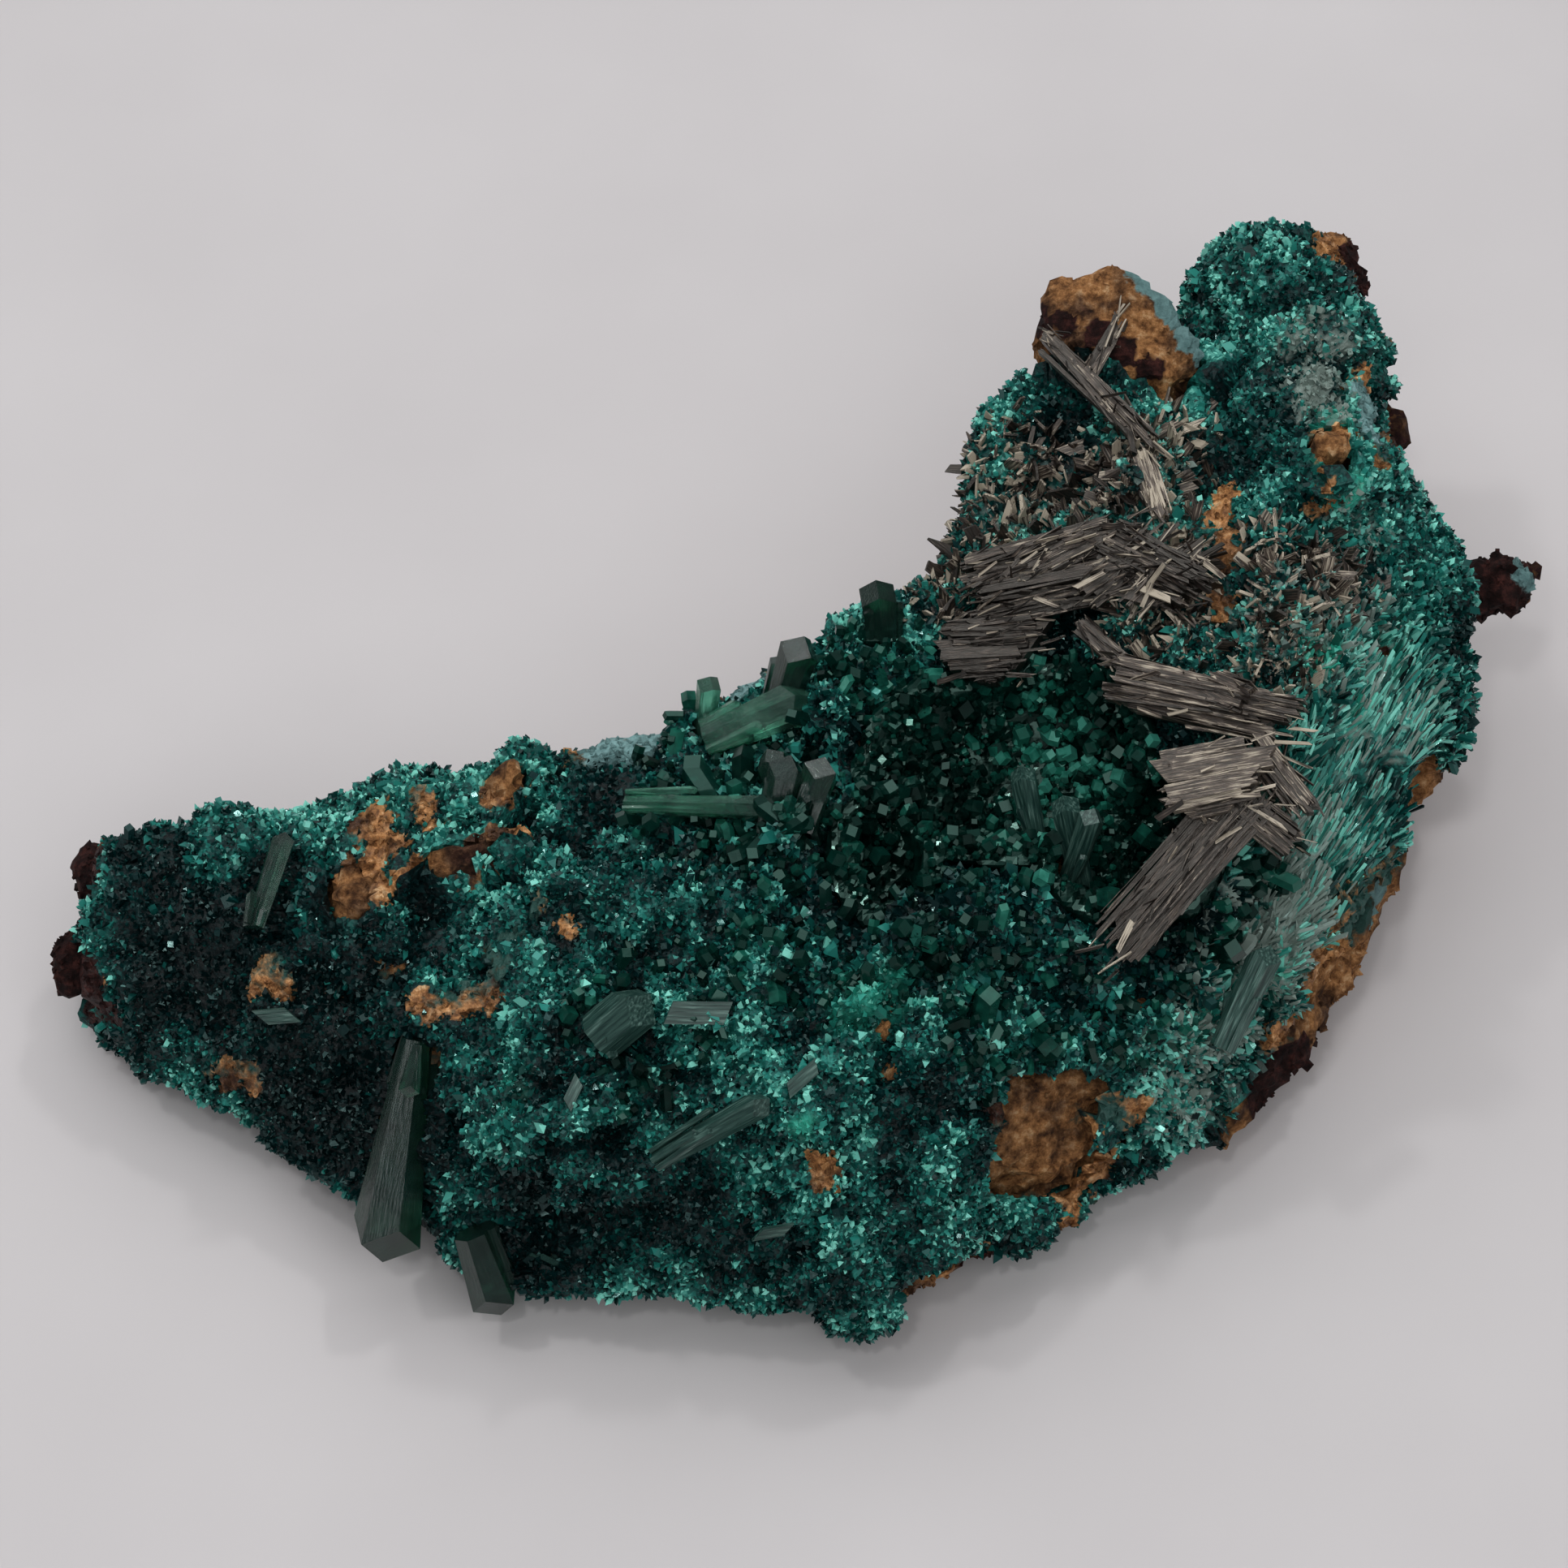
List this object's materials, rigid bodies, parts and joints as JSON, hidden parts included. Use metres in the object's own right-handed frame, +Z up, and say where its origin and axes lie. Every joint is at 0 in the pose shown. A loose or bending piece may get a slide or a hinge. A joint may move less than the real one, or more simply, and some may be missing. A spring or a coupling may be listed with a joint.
{
  "type": "dioptase specimen",
  "caption": "Crescent-shaped mineral specimen: green dioptase crystals and grey cerussite blades crusting a rusty rock, with a crystal-lined hollow.",
  "frame": {"origin": "under the middle of the bounding box, on the face that the specimen rests on", "axes": "+X along the specimen from its thin left tip towards the tower, +Y to the back, +Z up"},
  "size_m": [0.0908, 0.0682, 0.0277],
  "materials": {
    "matrix": "rough rust-brown gossan with iron oxides",
    "dioptase_crust": "sparkling blue-green druse of small crystals",
    "vug_crystals": "dark green glassy blocky crystals",
    "cerussite": "striated grey-brown blades with an adamantine shine",
    "dioptase": "translucent emerald green, glassy"
  },
  "bodies": {
    "root": {"matrix": "matrix", "dioptase_crust": "dioptase_crust", "vug_crystals": "vug_crystals", "cerussite_long_blade": "cerussite", "cerussite_bright_blade": "cerussite", "cerussite_left_block": "cerussite", "cerussite_bundle": "cerussite", "cerussite_lath": "cerussite", "cerussite_cluster": "cerussite", "overhanging_prism": "dioptase", "front_low_prism": "dioptase", "left_slope_prism": "dioptase", "back_upright_prism": "dioptase", "back_long_prism": "dioptase", "back_steep_prism": "dioptase", "middle_long_prism": "dioptase", "middle_prism_cluster": "dioptase", "centre_block_prism": "dioptase", "pale_lath_prism": "dioptase", "back_edge_prism": "dioptase", "right_lath_prism": "dioptase", "vug_prisms": "dioptase"}
  },
  "joints": []
}
